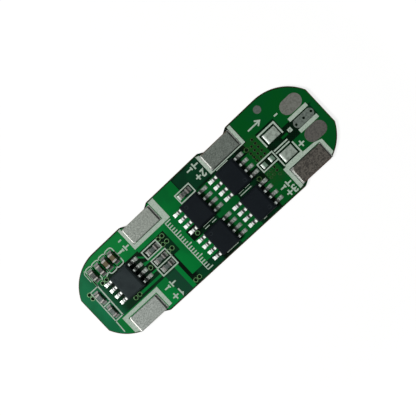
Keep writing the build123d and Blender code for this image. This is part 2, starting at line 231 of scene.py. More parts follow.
lamps = {
    "keyLamp": {"azimuth": 166, "elevation": 56, "distance": 1.2, "size": 0.3, "power": 13.6},
    "softLamp": {"azimuth": 300, "elevation": 62, "distance": 1.2, "size": 0.8, "power": 0.35},
}
for name, values in lamps.items():
    data = bpy.data.lights.new(name, "AREA")
    data.shape = "DISK"
    data.size = values["size"]
    data.energy = values["power"]
    light = bpy.data.objects.new(name, data)
    turn, rise = math.radians(values["azimuth"]), math.radians(values["elevation"])
    toLamp = Vector((math.cos(rise) * math.cos(turn), math.cos(rise) * math.sin(turn), math.sin(rise)))
    light.location = toLamp * values["distance"]
    light.rotation_euler = toLamp.to_track_quat("Z", "Y").to_euler()
    bpy.context.scene.collection.objects.link(light)

room = {"seen": 1.0, "light": 0.06}  # strength that shows, and that lights the object
world = bpy.data.worlds.new("room")
bpy.context.scene.world = world
world.use_nodes = True
sky = Nodes(world.node_tree)
level = sky.showsBackground() * (room["seen"] - room["light"]) + room["light"]
back = sky.add("ShaderNodeBackground", {}, {"Color": (1, 1, 1, 1), "Strength": level})
sky.add("ShaderNodeOutputWorld", {}, {"Surface": back}, None)

floorLook = {
    "colour": srgb(236, 236, 234),
    "grain": srgb(240, 240, 238),
    "white": 0.78,  # share of plain white near the board
    "glow": 1.08,
    "fade": (36, 62),  # from the middle, mm
    "half": 1.5,  # m
    "drop": 0.02,  # mm under the board
}
floorFinish = Finish("paleFloor", Roughness=0.9, Specular_IOR_Level=0.0)
grain = floorFinish.noise(0.4, 3)
floorFinish.feed(Base_Color=floorFinish.mix(grain, floorLook["colour"], floorLook["grain"]))
away = floorFinish.add("ShaderNodeVectorMath", {"operation": "LENGTH"}, {0: floorFinish.place}, "Value")
share = floorFinish.step(away, *floorLook["fade"], floorLook["white"]) * floorFinish.showsBackground()
white = floorFinish.add("ShaderNodeEmission", {}, {"Color": (1, 1, 1, 1), "Strength": floorLook["glow"]})
both = floorFinish.add("ShaderNodeMixShader", {}, {0: share, 1: floorFinish.surface, 2: white})
floorFinish.tree.links.new(both.socket, floorFinish.output.inputs["Surface"])
bm = bmesh.new()
bmesh.ops.create_grid(bm, x_segments=2, y_segments=2, size=floorLook["half"])
floorMesh = bpy.data.meshes.new("floor")
bm.to_mesh(floorMesh)
bm.free()
floorMesh.materials.append(floorFinish.material)
floor = bpy.data.objects.new("floor", floorMesh)
floor.location.z = -floorLook["drop"] * mm
bpy.context.scene.collection.objects.link(floor)
bpy.context.scene.view_settings.view_transform = "Standard"
print("camera, lamps and floor ready")


# board

boardLook = {
    "copperLeft": srgb(2, 118, 51),  # mask over copper
    "copperRight": srgb(3, 76, 26),
    "copperFade": (-14, 10),
    # dark green mask over bare laminate, made darker with painted shade to the tone inside the packages'
    # shadows; also the colour of the painted chip shadow
    "bareMiddleAndShade": srgb(1, 8, 3),  # mask over bare laminate
    "bareRight": srgb(2, 18, 6),
    "bareEnd": srgb(9, 107, 65),
    "barePatch": srgb(20, 60, 42),
    "bareTop": srgb(6, 46, 27),
    "bareLower": srgb(5, 62, 34),
    "endFade": (-19.5, -23.5),
    "rightFade": (9, 15),
    "tipFade": (24.4, 25),
    "weave": srgb(30, 110, 70),
    "weaveTurns": 13,
    "weaveShare": 0.05,
    "traceShare": 0.85,
    # share of the painted shadow beside the lying chip
    "chipShadowShare": 0.75,
    "cloud": srgb(4, 70, 36),
    "cloudShare": 0.3,
    "brown": srgb(44, 48, 18),
    "heatShare": 0.45,
    "edge": srgb(122, 104, 78),
    "edgeLayer": srgb(96, 88, 62),
    "layerTurns": 42,
    "edgeFibre": srgb(150, 134, 104),
    "fibreShare": 0.4,
    "under": srgb(7, 92, 44),
    "underGap": srgb(4, 60, 32),
    "underCloud": srgb(5, 76, 38),
    "plated": srgb(150, 150, 142),
    "rim": srgb(74, 62, 44),
    "copperZ": 1.018,  # heights, mm
    "maskZ": 0.985,
    "padZ": 1.04,
    "halfWidth": 8.0,  # also the radius of the round ends
    "arcX": 18.395,
    "halfLength": 25.61,
}
# left, right, low, high, then soft edge, share and tone
barePatches = [
    ((-0.3, 5.2, 3.9, 7.7), 0.3, 1.0, "bareTop"),
    ((-12.4, -9.7, -8.0, -3.3), 0.3, 1.0, "barePatch"),
    ((-7.6, -2.6, -8.0, -5.9), 0.4, 0.7, "bareLower"),
]
flatTrace = (-12.4, -8.8, 0.4, 0.66)
slantedTraces = [((-13.3, 2.3), (-12.35, 1.45), 0.15), ((-13.4, 0.85), (-12.3, 0.56), 0.14)]
# painted shadow: the area beside the lying chip, inside its printed box, where the chip's shadow falls
chipShadowPatch = (-0.5, 1.45, 4.15, 5.4)
heatFields = [((12.0, 14.7, -0.3, 3.9), 0.5), ((11.6, 14.3, -4.6, -2.1), 0.4)]
underGaps = [(-14.4, -13.9), (-1.4, -0.9), (13.2, 13.7)]
senseArea = (20.2, 24.4, -0.2, 0.95)

board = Finish("solderMask", Specular_IOR_Level=0.02)


def paintedTrace(start, end, half, soft=0.05):
    # one on a straight trace
    along = Vector(end) - Vector(start)
    unit = along.normalized()
    east, north = board.x - start[0], board.y - start[1]
    forth = east * unit.x + north * unit.y
    aside = board.maths("ABSOLUTE", north * unit.x - east * unit.y)
    return (forth > 0.0) * (forth < along.length) * board.fall(aside, half - soft, half + soft)


cloudy = board.noise(0.35, 3)
fine = board.noise(6, 2)
turns = boardLook["weaveTurns"]
weave = board.maths("SINE", board.x * turns) * board.maths("SINE", board.y * turns)
copperTone = board.mix(
    board.step(board.x, *boardLook["copperFade"]), boardLook["copperLeft"], boardLook["copperRight"]
)
bareTone = board.mix(
    board.step(board.x, *boardLook["endFade"]), boardLook["bareMiddleAndShade"], boardLook["bareEnd"]
)
bareTone = board.mix(board.step(board.x, *boardLook["rightFade"]), bareTone, boardLook["bareRight"])
for area, soft, share, name in barePatches:
    bareTone = board.mix(board.inside(*area, soft) * share, bareTone, boardLook[name])
bareTone = board.mix(board.step(board.x, *boardLook["tipFade"]), bareTone, boardLook["copperRight"])
bareTone = board.mix(boardLook["weaveShare"] * board.step(weave, 0, 1), bareTone, boardLook["weave"])
bareTone = board.mix(board.inside(*flatTrace, 0.06), bareTone, copperTone)
for start, end, half in slantedTraces:
    bareTone = board.mix(paintedTrace(start, end, half) * boardLook["traceShare"], bareTone, copperTone)

top = board.mix(board.z > boardLook["copperZ"], bareTone, copperTone)
# painted shadow of the lying chip: the top darkened towards the dark bare tone
corner = board.inside(*chipShadowPatch, 0.25) * boardLook["chipShadowShare"]
top = board.mix(corner, top, boardLook["bareMiddleAndShade"])
heat = board.largest(*[board.inside(*area, soft) for area, soft in heatFields])
heat = heat * boardLook["heatShare"] * board.step(fine, 0.35, 0.7)
top = board.mix(heat, top, boardLook["brown"])
clouds = board.step(cloudy, 0.42, 0.62) * boardLook["cloudShare"]
top = board.mix(clouds, top, boardLook["cloud"])

# brown line where the mask ends at the board's edge
fromMiddle = board.maths("ABSOLUTE", board.x)
beyond = board.maths("MAXIMUM", fromMiddle - boardLook["arcX"], 0.0)
rimGap = boardLook["halfWidth"] - board.maths("SQRT", beyond * beyond + board.y * board.y)
rimGap = board.maths("MINIMUM", rimGap, boardLook["halfLength"] - fromMiddle)
top = board.mix(board.step(rimGap, 0.06, 0.16), boardLook["rim"], top)

halfWidth = boardLook["halfWidth"]
gaps = board.largest(*[board.inside(left, right, -halfWidth, halfWidth) for left, right in underGaps])
underTone = board.mix(gaps, boardLook["under"], boardLook["underGap"])
clouds = board.step(cloudy, 0.4, 0.7) * boardLook["cloudShare"]
underTone = board.mix(clouds, underTone, boardLook["underCloud"])

# layers of the laminate on the edge, and plating in the sense pad's holes
layers = board.maths("SINE", board.z * boardLook["layerTurns"])
wall = board.mix(board.step(layers, -0.3, 0.9), boardLook["edge"], boardLook["edgeLayer"])
fibres = board.step(fine, 0.45, 0.75) * boardLook["fibreShare"]
wall = board.mix(fibres, wall, boardLook["edgeFibre"])
wall = board.mix(board.z > boardLook["maskZ"], wall, top)
drilled = board.inside(*senseArea) * (board.z < boardLook["padZ"])
wall = board.mix(drilled, wall, boardLook["plated"])
upright = board.maths("ABSOLUTE", board.facing) < 0.5
colour = board.mix(board.facing > 0, underTone, top)
board.feed(Base_Color=board.mix(upright, colour, wall))
board.feed(Roughness=board.step(fine, 0.2, 0.8, 0.28, 0.42) + upright * 0.3)
board.bump(fine * 0.5 + weave * 0.2, 0.006, 0.6)
dress(board, "circuit_board")
print("board finished")


# packages

packageLook = {
    "transistor": srgb(18, 23, 27),
    "controller": srgb(44, 52, 53),
    "pale": srgb(62, 70, 74),
    "deep": srgb(12, 15, 19),
    "dimples": ((-18.01, 2.05), (-1.25, 2.73), (-1.25, -3.09), (8.66, -0.47), (8.66, -6.29)),
    # painted highlight round each dimple: inner and outer radii and share
    "highlightIn": (0.21, 0.27),  # radii round a dimple, mm
    "highlightOut": (0.28, 0.34),
    "highlightShare": 0.35,
}


def compound(name, colour, lift):
    # moulded body, with a painted highlight round its pin-one dimple
    body = Finish(name, Specular_IOR_Level=0.03)
    grit = body.noise(14, 3, rough=0.7)
    patch = body.noise(0.6, 2)
    tone = body.mix(body.step(grit, 0.5, 0.8) * lift, colour, packageLook["pale"])
    tone = body.mix(body.step(patch, 0.35, 0.7) * 0.25, tone, packageLook["deep"])
    for x, y in packageLook["dimples"]:
        across, along = body.x - x, body.y - y
        spread = body.maths("SQRT", across * across + along * along)
        # painted highlight: a paler ring where the dimple's slope catches the light
        rim = body.step(spread, *packageLook["highlightIn"]) * body.fall(spread, *packageLook["highlightOut"])
        tone = body.mix(rim * packageLook["highlightShare"], tone, packageLook["pale"])
    body.feed(Base_Color=tone, Roughness=body.step(grit, 0.3, 0.7, 0.5, 0.68))
    body.bump(grit, 0.012, 0.7)
    return body


dress(compound("transistorBody", packageLook["transistor"], 0.25), *nodesOf("transistor", "body"))
dress(compound("controllerBody", packageLook["controller"], 0.3), "controller_body")

leadLook = {
    "tin": srgb(228, 230, 228),
    "dull": srgb(176, 180, 176),
    # painted shade for upright faces of the tin
    "steep": srgb(96, 100, 96),
    # painted shade colour of the dark bands on the leads and solder
    "shadeBand": srgb(30, 34, 30),
    # painted highlight on the upper bends of the left row
    "shoulder": srgb(244, 246, 242),
    "solder": srgb(222, 226, 222),
    # painted shade: tones of the right row, which lies away from the lamp
    "rightShadedTin": srgb(162, 168, 162),
    "rightShadedDull": srgb(116, 124, 116),
    "rightShadedRim": srgb(78, 92, 80),
    "rightShadedShoulder": srgb(174, 182, 176),
    "shoulderZ": 1.6,  # heights, mm
    "bendZ": 1.3,
    "heelZ": 1.9,
    "root": (2.0, 2.08),  # distances from the package's middle, mm
    "heelStart": 2.3,
    "sides": (2.94, 3.02),
    "toeStart": (2.96, 3.02),
    "toeEnd": (3.06, 3.14),
    "rim": (3.3, 3.7),
    "soft": 0.05,
    "rightGap": 0.1,  # by how much these are nearer on the right
    "rightHeel": 0.24,
    "bendShare": 0.9,
    "toeShare": 0.55,
    "sideShare": 0.62,
}


def tinned(name, bright, dull, metallic, grain, steep=None, gloss=0.4):
    tin = Finish(name, Metallic=metallic, Specular_IOR_Level=gloss)
    cloud = tin.noise(grain, 3, rough=0.6)
    tone = tin.mix(tin.step(cloud, 0.38, 0.68), bright, dull)
    # painted shade: upright faces darker, standing in for the dark room they reflect
    if steep:
        tone = tin.mix(tin.step(tin.facing, 0.25, 0.7), steep, tone)
    tin.tone = tone
    tin.feed(Base_Color=tone, Roughness=tin.step(cloud, 0.3, 0.7, 0.3, 0.5))
    tin.bump(cloud, 0.01, 0.6)
    return tin


# per package: middle x, start of the painted shade in the leg's bend, end of the painted shade at the
# heel, and how far the left row's painted highlight is dimmed
packageLeads = {
    "controller": {"x": -17.045, "shadeBand": 2.3, "heel": 2.8, "leftDimming": 0.16},
    "transistor_1": {"x": -0.295, "shadeBand": 2.32, "heel": 2.74, "leftDimming": 0.05},
    "transistor_2": {"x": -0.295, "shadeBand": 2.36, "heel": 2.8, "leftDimming": 0.05},
    "transistor_3": {"x": 7.705, "shadeBand": 2.37, "heel": 2.76, "leftDimming": 0.05},
    "transistor_4": {"x": 7.705, "shadeBand": 2.37, "heel": 2.8, "leftDimming": 0.08},
}


def shaded(finish, look, sideShare=0.0):
    # tin of one package with painted light: painted highlight on the left row, painted shade over the
    # right row, painted shade in the bends
    soft = leadLook["soft"]
    across = finish.x - look["x"]
    away = finish.maths("ABSOLUTE", across)
    right = across > 0.0
    high = finish.z > leadLook["shoulderZ"]
    cloud = finish.noise(4, 2)
    # painted highlight on the upper bends of the left row
    leftLitTone = finish.mix(high * 0.8, finish.tone, leadLook["shoulder"])
    # the left row's painted highlight, dimmed for each package towards the painted shade colour
    leftLitTone = finish.mix(look["leftDimming"], leftLitTone, leadLook["shadeBand"])
    # painted shade over the right row, darker towards the solder's outer edge
    rightShadedTone = finish.mix(finish.step(cloud, 0.35, 0.7), leadLook["rightShadedTin"], leadLook["rightShadedDull"])
    rightShadedTone = finish.mix(high, rightShadedTone, leadLook["rightShadedShoulder"])
    rightShadedTone = finish.mix(finish.step(away, *leadLook["rim"]), rightShadedTone, leadLook["rightShadedRim"])
    tone = finish.mix(right, leftLitTone, rightShadedTone)
    # painted shade: dark bands by the body, in the bend of the leg, at the heel and toe of the foot, and
    # on the solder beside the foot
    root = finish.fall(away, *leadLook["root"]) * high * (across < 0.0)
    bendStart = look["shadeBand"] - right * leadLook["rightGap"]
    bend = finish.step(away - bendStart, -soft, soft) * (finish.z > leadLook["bendZ"])
    heelEnd = look["heel"] - right * leadLook["rightHeel"]
    heel = finish.fall(away - heelEnd, -soft, soft)
    heel = heel * (finish.z < leadLook["heelZ"]) * (away > leadLook["heelStart"])
    toe = finish.step(away, *leadLook["toeStart"]) * finish.fall(away, *leadLook["toeEnd"])
    toe = toe * (leadLook["toeShare"] - right * leadLook["toeShare"])
    sides = finish.fall(away, *leadLook["sides"]) * sideShare
    dark = finish.largest(root, bend * leadLook["bendShare"], heel, toe, sides)
    return finish.feed(Base_Color=finish.mix(dark, tone, leadLook["shadeBand"]))


for name, look in packageLeads.items():
    tin = tinned(name + "LeadTin", leadLook["tin"], leadLook["dull"], 0.2, 5, leadLook["steep"])
    dress(shaded(tin, look), name + "_leads")
    joint = tinned(name + "Solder", leadLook["solder"], leadLook["dull"], 0.2, 7, leadLook["steep"])
    dress(shaded(joint, look, leadLook["sideShare"]), name + "_solder")
print("packages finished")


# chips

chipLook = {
    "coat": srgb(79, 90, 85),
    "coatLeft": srgb(88, 100, 95),
    "coatTop": srgb(68, 72, 67),
    "coatWorn": srgb(142, 148, 144),
    "coatZ": 1.49,  # mm
    "leftX": -22,  # the paler coat is left of this
    "topY": 4,  # the darker one above this, right of leftX
    "flank": srgb(132, 129, 120),
    "flankDark": srgb(104, 101, 92),
    "brown": srgb(84, 76, 52),
    "brownPale": srgb(104, 94, 68),
    "cap": srgb(124, 121, 117),
    "capDull": srgb(98, 96, 92),
    "solder": srgb(126, 129, 124),
    "solderDull": srgb(92, 96, 91),
    # painted shade for upright faces of the chips' solder
    "solderSteepShade": srgb(96, 100, 96),
    # dark colour for the coat's specks and for the painted shade at the chips' ends
    "line": srgb(26, 28, 26),
    "endShadeShare": 0.6,
    "endShadeHalf": 0.7,
}
# middles of the chips, and the bands of painted shade across them: from, to and share
lying = [(-10.42, 1.55), (-10.42, -0.5), (-10.42, -2.17), (-0.095, 4.7)]
lyingEndShades = [(0.17, 0.33, 1.0), (0.68, 0.8, 1.0), (-0.62, -0.5, 0.6)]
standing = [(-20.87, 5.1), (-19.33, 5.1), (-17.79, 5.1), (-16.25, 5.1)]
standingEndShades = [(-0.36, -0.24, 1.0), (-1.15, -0.78, 1.0)]


def paintedEndShade(finish, tone):
    # painted shade: darker bands by the right or lower end of each chip, the ends turned from the lamp
    half = chipLook["endShadeHalf"]
    endShades = []
    for x, y in lying:
        for start, end, share in lyingEndShades:
            endShades.append(finish.inside(x + start, x + end, y - half, y + half) * share)
    for x, y in standing:
        for start, end, share in standingEndShades:
            endShades.append(finish.inside(x - half, x + half, y + start, y + end) * share)
    return finish.mix(finish.largest(*endShades) * chipLook["endShadeShare"], tone, chipLook["line"])


resistor = Finish("resistorCoat", Roughness=0.42, Specular_IOR_Level=0.1)
speck = resistor.noise(9, 2)
worn = resistor.noise(5, 2)
coat = resistor.mix(resistor.x < chipLook["leftX"], chipLook["coat"], chipLook["coatLeft"])
upper = (resistor.y > chipLook["topY"]) * (resistor.x > chipLook["leftX"])
coat = resistor.mix(upper, coat, chipLook["coatTop"])
coat = resistor.mix(resistor.step(worn, 0.5, 0.64) * 0.45, coat, chipLook["coatWorn"])
coat = resistor.mix(resistor.step(speck, 0.5, 0.36) * 0.45, coat, chipLook["line"])
flank = resistor.mix(resistor.step(speck, 0.4, 0.7), chipLook["flank"], chipLook["flankDark"])
tone = resistor.mix(resistor.z > chipLook["coatZ"], flank, coat)
resistor.feed(Base_Color=paintedEndShade(resistor, tone))
resistor.bump(speck, 0.008, 0.6)
dress(resistor, *nodesOf("resistor", "body"))

ceramic = Finish("capacitorCeramic", Roughness=0.5, Specular_IOR_Level=0.1)
speck = ceramic.noise(8, 3)
tone = ceramic.mix(ceramic.step(speck, 0.35, 0.7), chipLook["brown"], chipLook["brownPale"])
ceramic.feed(Base_Color=tone)
ceramic.bump(speck, 0.01, 0.6)
dress(ceramic, *nodesOf("capacitor", "body"))

capTin = tinned("capTin", chipLook["cap"], chipLook["capDull"], 0.3, 6, gloss=0.15)
capTin.feed(Base_Color=paintedEndShade(capTin, capTin.tone))
dress(capTin, *nodesOf("resistor", "caps"), *nodesOf("capacitor", "caps"))
chipJoint = tinned(
    "chipJointSolder", chipLook["solder"], chipLook["solderDull"], 0.2, 7, chipLook["solderSteepShade"], 0.15
)
chipJoint.feed(Base_Color=paintedEndShade(chipJoint, chipJoint.tone))
dress(chipJoint, "chip_solder")
print("chips finished")


# cell tabs

# inner is the side in y that faces the middle of the board
tabLook = {
    "cell_tab_negative": {
        "light": srgb(117, 122, 115), "dark": srgb(92, 97, 91), "edge": srgb(96, 96, 90), "inner": -1,
        "fleck": 0.5, "blot": 0.1, "lipHighlight": 0.22, "rim": 0.1, "cutHighlight": 0.4,
    },
    "cell_tab_first": {
        "light": srgb(119, 124, 119), "dark": srgb(95, 100, 95), "edge": srgb(96, 96, 90), "inner": 1,
        "fleck": 0.4, "blot": 0.1, "lipHighlight": 0.27, "rim": 0.1, "cutHighlight": 0.85,
    },
    "cell_tab_second": {
        "light": srgb(96, 103, 96), "dark": srgb(60, 66, 61), "edge": srgb(74, 56, 42), "inner": -1,
        "fleck": 0.6, "blot": 0.2, "lipHighlight": 0.17, "rim": 0.14, "cutHighlight": 0.0,
    },
    "cell_tab_third": {
        "light": srgb(84, 80, 73), "dark": srgb(30, 28, 24), "edge": srgb(58, 42, 34), "inner": 1,
        "fleck": 0.8, "blot": 0.75, "lipHighlight": 0.12, "rim": 0.2, "cutHighlight": 0.3,
    },
}
tabLines = {
    # colour of the painted highlights on the tabs
    "bright": srgb(240, 239, 232),
    # colour of the painted shadows at the tab's far end and along its inner side
    "grooveShade": srgb(26, 27, 25),
    "solder": srgb(176, 180, 174),
    "solderDull": srgb(120, 124, 119),
    # painted shade for upright faces of the tabs' solder
    "solderSteepShade": srgb(80, 82, 79),
    "soft": 0.03,
    "far": (0.26, 0.06),  # distances from the tab's sides, mm
    "farShare": 0.85,
    "inner": (0.2, 0.3, 0.12),
    "innerShare": 0.6,
    "edgeAndShadowShare": 0.8,
    "cutStart": (0.3, 0.38),
    "cutEnd": (0.46, 0.56),
    "cutReach": (-0.05, 0.5),
}


def tabFinish(name, look):
    low, high = [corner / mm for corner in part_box(name)]
    inner = look["inner"]
    innerY, outerY = (low.y, high.y) if inner < 0 else (high.y, low.y)
    nickel = Finish(name + "Nickel", Metallic=0.4, Specular_IOR_Level=0.3)
    coarse = nickel.noise(3.4, 4, (1.0, 1.4, 1.0), 0.7)
    streak = nickel.noise(7, 3, (0.25, 1.4, 1.0), 0.6)
    cloud = nickel.noise(0.9, 3)
    blot = nickel.noise(1.7, 3, rough=0.6)
    tone = nickel.mix(nickel.step(coarse, 0.35, 0.65), look["light"], look["dark"])
    tone = nickel.mix(nickel.step(streak, 0.52, 0.7) * look["fleck"] * 0.5, tone, look["dark"])
    tone = nickel.mix(nickel.step(cloud, 0.4, 0.65) * 0.35, tone, look["light"])
    tone = nickel.mix(nickel.step(blot, 0.5, 0.6) * look["blot"], tone, look["dark"])

    def band(left, right, start, end):
        return nickel.inside(left, right, min(start, end), max(start, end), tabLines["soft"])

    # painted highlight along the rolled end that faces the lamp
    lipHighlight = band(low.x - 0.1, low.x + look["lipHighlight"], innerY - inner * 0.3, outerY)
    tone = nickel.mix(lipHighlight, tone, tabLines["bright"])
    # painted shadow in the hollow at the far end, the end turned away from the lamp
    start, end = tabLines["far"]
    farGrooveShade = band(high.x - start, high.x - end, innerY, outerY)
    tone = nickel.mix(farGrooveShade * tabLines["farShare"], tone, tabLines["grooveShade"])
    # painted shadow in the narrow space between the tab's inner side and the print
    left, right, wide = tabLines["inner"]
    innerGrooveShade = band(low.x + left, high.x - right, innerY, innerY - inner * wide)
    tone = nickel.mix(innerGrooveShade * tabLines["innerShare"], tone, tabLines["grooveShade"])
    # darker band along the outer side: the laminate's own edge colour, and painted shadow under the tab
    outerEdgeAndShadow = band(low.x, high.x, outerY, outerY + inner * look["rim"])
    tone = nickel.mix(outerEdgeAndShadow * tabLines["edgeAndShadowShare"], tone, look["edge"])
    # painted highlight: a bright line along the clipped corner
    inward = (innerY - nickel.y) * inner
    corner = nickel.x - low.x + inward
    cutHighlight = nickel.step(corner, *tabLines["cutStart"]) * nickel.fall(corner, *tabLines["cutEnd"])
    start, end = tabLines["cutReach"]
    cutHighlight = cutHighlight * (inward < end) * (inward > start) * look["cutHighlight"]
    tone = nickel.mix(cutHighlight, tone, tabLines["bright"])
    nickel.feed(Base_Color=tone, Roughness=nickel.step(coarse, 0.3, 0.7, 0.42, 0.62))
    nickel.bump(coarse * 0.7 + streak * 0.4, 0.02, 0.7)
    return nickel


for name, look in tabLook.items():
    dress(tabFinish(name, look), name)
tabJoint = tinned(
    "tabJointSolder", tabLines["solder"], tabLines["solderDull"], 0.3, 4, tabLines["solderSteepShade"]
)
dress(tabJoint, "tab_solder")
print("tabs finished")


# pads

padLook = {
    "output_pad_negative": (srgb(100, 102, 95), srgb(80, 81, 75)),
    "output_pad_positive": (srgb(77, 75, 70), srgb(54, 53, 50)),
    "sense_pad": (srgb(94, 104, 96), srgb(62, 69, 64)),
    "alignment_mark": (srgb(77, 85, 78), srgb(56, 66, 60)),
}
for name, (light, dark) in padLook.items():
    dress(tinned(name + "Tin", light, dark, 0.3, 3), name)

domeGlint = srgb(222, 230, 222)
domeLook = {
    "shunt_pad_upper": {"light": srgb(142, 154, 143), "dark": srgb(103, 112, 103), "edges": (15.43,)},
    "shunt_pad_lower": {"light": srgb(137, 148, 138), "dark": srgb(98, 107, 98), "edges": (15.43,)},
    "spare_pads": {"light": srgb(96, 124, 104), "dark": srgb(70, 90, 76), "edges": (12.13, 13.73)},
}
for name, look in domeLook.items():
    dome = tinned(name + "Solder", look["light"], look["dark"], 0.3, 1.6)
    tone = dome.tone
    for edge in look["edges"]:
        glint = dome.step(dome.x, edge - 0.02, edge + 0.02) * dome.fall(dome.x, edge + 0.1, edge + 0.5)
        tone = dome.mix(glint, tone, domeGlint)
    dress(dome.feed(Base_Color=tone), name)
print("pads finished")


# print on the mask

# foot and top are heights, lift keeps crossing strokes apart, and the rest are line widths, in mm
inkLook = {
    "ink": srgb(172, 187, 173),
    "worn": srgb(148, 166, 150),
    "foot": 0.99,
    "top": 1.05,
    "lift": 0.006,
    "faint": 0.08,
    "hair": 0.13,
    "spine": 0.14,
    "thin": 0.2,
    "box": 0.21,
    "medium": 0.22,
    "strong": 0.24,
    "sign": 0.26,
    "bold": 0.28,
}
ink = Finish("printInk", Roughness=0.6, Specular_IOR_Level=0.15)
wear = ink.noise(5, 3)
ink.feed(Base_Color=ink.mix(ink.step(wear, 0.4, 0.7), inkLook["ink"], inkLook["worn"]))
ink.bump(wear, 0.008, 0.5)


def plate(bm, points):
    # flat patch of ink on a polygon, with its side walls
    foot = [bm.verts.new((x, y, inkLook["foot"])) for x, y in points]
    top = [bm.verts.new((x, y, inkLook["top"])) for x, y in points]
    bm.faces.new(top)
    bm.faces.new(foot[::-1])
    for i in range(len(points)):
        j = (i + 1) % len(points)
        bm.faces.new((foot[i], foot[j], top[j], top[i]))


def bar(bm, left, right, low, high):
    plate(bm, [(left, low), (right, low), (right, high), (left, high)])


def roundOff(points, radius, parts=5):
    # rounds the corners of an open path
    made = [Vector(points[0])]
    for previous, point, following in zip(points, points[1:], points[2:]):
        here = Vector(point)
        before = Vector(previous) - here
        after = Vector(following) - here
        reach = min(radius, before.length / 2, after.length / 2)
        start, end = here + before.normalized() * reach, here + after.normalized() * reach
        for k in range(parts + 1):
            t = k / parts
            made.append(start * (1 - t) ** 2 + here * 2 * t * (1 - t) + end * t ** 2)
    made.append(Vector(points[-1]))
    return made


def line(bm, points, width, radius=0.0, closed=False, top=inkLook["top"]):
    # a printed line along a path
    path = roundOff(points, radius) if radius else [Vector(point) for point in points]
    count = len(path)
    rings = []
    for i, here in enumerate(path):
        before = path[i - 1] if closed or i else None
        after = path[(i + 1) % count] if closed or i < count - 1 else None
        into = (here - before).normalized() if before is not None else (after - here).normalized()
        out = (after - here).normalized() if after is not None else into
        across = Vector((-(into + out).y, (into + out).x)).normalized()
        stretch = width / 2 / max(0.3, across.dot(Vector((-into.y, into.x))))
        left, right = here + across * stretch, here - across * stretch
        corners = ((left, inkLook["foot"]), (left, top), (right, top), (right, inkLook["foot"]))
        rings.append([bm.verts.new((side.x, side.y, height)) for side, height in corners])
    for i in range(count if closed else count - 1):
        first, second = rings[i], rings[(i + 1) % count]
        for k in range(4):
            bm.faces.new((first[k], first[(k + 1) % 4], second[(k + 1) % 4], second[k]))
    if not closed:
        bm.faces.new(rings[0][::-1])
        bm.faces.new(rings[-1])


def boxLine(bm, left, right, low, high, width):
    left, right, low, high = left + width / 2, right - width / 2, low + width / 2, high - width / 2
    line(bm, [(left, low), (right, low), (right, high), (left, high)], width, closed=True)


# frames round the tabs and bars by the output pads
tabFrames = [
    [(-12.64, 7.76), (-12.64, 3.5), (-4.53, 3.5), (-4.53, 7.76),
     (-5.63, 7.76), (-5.63, 4.22), (-12.14, 4.22), (-12.14, 7.76)],
    [(-22.42, -3.49), (-22.42, -6.7), (-21.6, -7.12), (-21.6, -4.16),
     (-15.0, -4.16), (-15.0, -7.3), (-14.3, -7.3), (-14.3, -3.49)],
    [(5.26, 7.74), (5.26, 3.97), (12.9, 3.97), (12.9, 7.74),
     (12.3, 7.74), (12.3, 4.16), (5.88, 4.16), (5.88, 7.55)],
    [(14.37, -7.65), (15.05, -7.57), (15.05, -4.17), (21.6, -4.17), (21.6, -7.05),
     (22.2, -6.82), (22.2, -4.08), (20.9, -3.66), (18.6, -3.54), (18.6, -3.24),
     (14.97, -3.24), (14.97, -3.5), (14.37, -3.5)],
]
padBars = [(20.34, 24.18, 1.34, 2.0), (20.45, 24.27, -1.17, -0.48)]
bm = bmesh.new()
for points in tabFrames:
    plate(bm, points)
for area in padBars:
    bar(bm, *area)
newPiece("tabFrames", bm, ink)

# brackets and bars by the shunt pads, then outlines round the chips
shuntBars = [(15.25, 18.15, -0.46, -0.22), (15.25, 18.15, -0.95, -0.72)]
bm = bmesh.new()
line(bm, [(14.94, 0.92), (14.94, 3.23), (18.36, 3.23), (18.36, 0.92)], inkLook["bold"])
line(bm, [(14.97, -3.24), (14.97, -1.82)], inkLook["medium"])
line(bm, [(18.45, -3.24), (18.45, -1.16)], inkLook["bold"])
for area in shuntBars:
    bar(bm, *area)
boxLine(bm, 11.7, 15.1, -1.82, 0.04, inkLook["medium"])
line(bm, [(-21.85, -3.06), (-23.56, -3.06), (-23.42, 3.34), (-21.72, 3.34)], inkLook["thin"])
line(bm, [(-23.56, -3.0), (-23.68, -5.45)], inkLook["thin"])
line(bm, [(-23.46, 0.05), (-21.8, 0.05)], inkLook["medium"])
line(bm, [(-21.88, -3.15), (-21.7, 3.2), (-21.6, 6.0)], inkLook["strong"])
columns = (-21.55, -20.1, -18.52, -17.0, -15.42)
for left, right in zip(columns, columns[1:]):
    line(bm, [(left, 4.4), (left, 6.74), (right, 6.74), (right, 4.4)], inkLook["thin"], 0.55)
for left, right in zip(columns[2:], columns[3:]):
    line(bm, [(left, 4.5), (left, 3.24), (right, 3.24), (right, 4.5)], inkLook["thin"], 0.5)
line(bm, [(-21.62, 4.5), (-21.66, 3.4)], inkLook["strong"])
line(bm, [(-20.1, 4.5), (-20.1, 3.9), (-20.35, 3.62)], inkLook["thin"])
line(bm, [(-18.52, 4.5), (-18.56, 3.9), (-19.1, 3.62), (-19.4, 3.5)], inkLook["thin"])
line(bm, [(-15.35, 5.0), (-14.4, 5.0)], inkLook["thin"])
line(bm, [(-22.02, 4.6), (-22.0, 6.3), (-21.6, 6.75)], inkLook["hair"])
boxLine(bm, -12.3, -8.88, 0.72, 2.52, inkLook["box"])
boxLine(bm, -12.13, -8.7, -1.47, 0.37, inkLook["box"])
line(bm, [(-12.14, -1.36), (-12.14, -2.97), (-8.84, -2.97), (-8.84, -1.36)], inkLook["strong"])
boxLine(bm, -1.68, 1.64, 3.66, 5.57, inkLook["box"])
newPiece("chipOutlines", bm, ink)

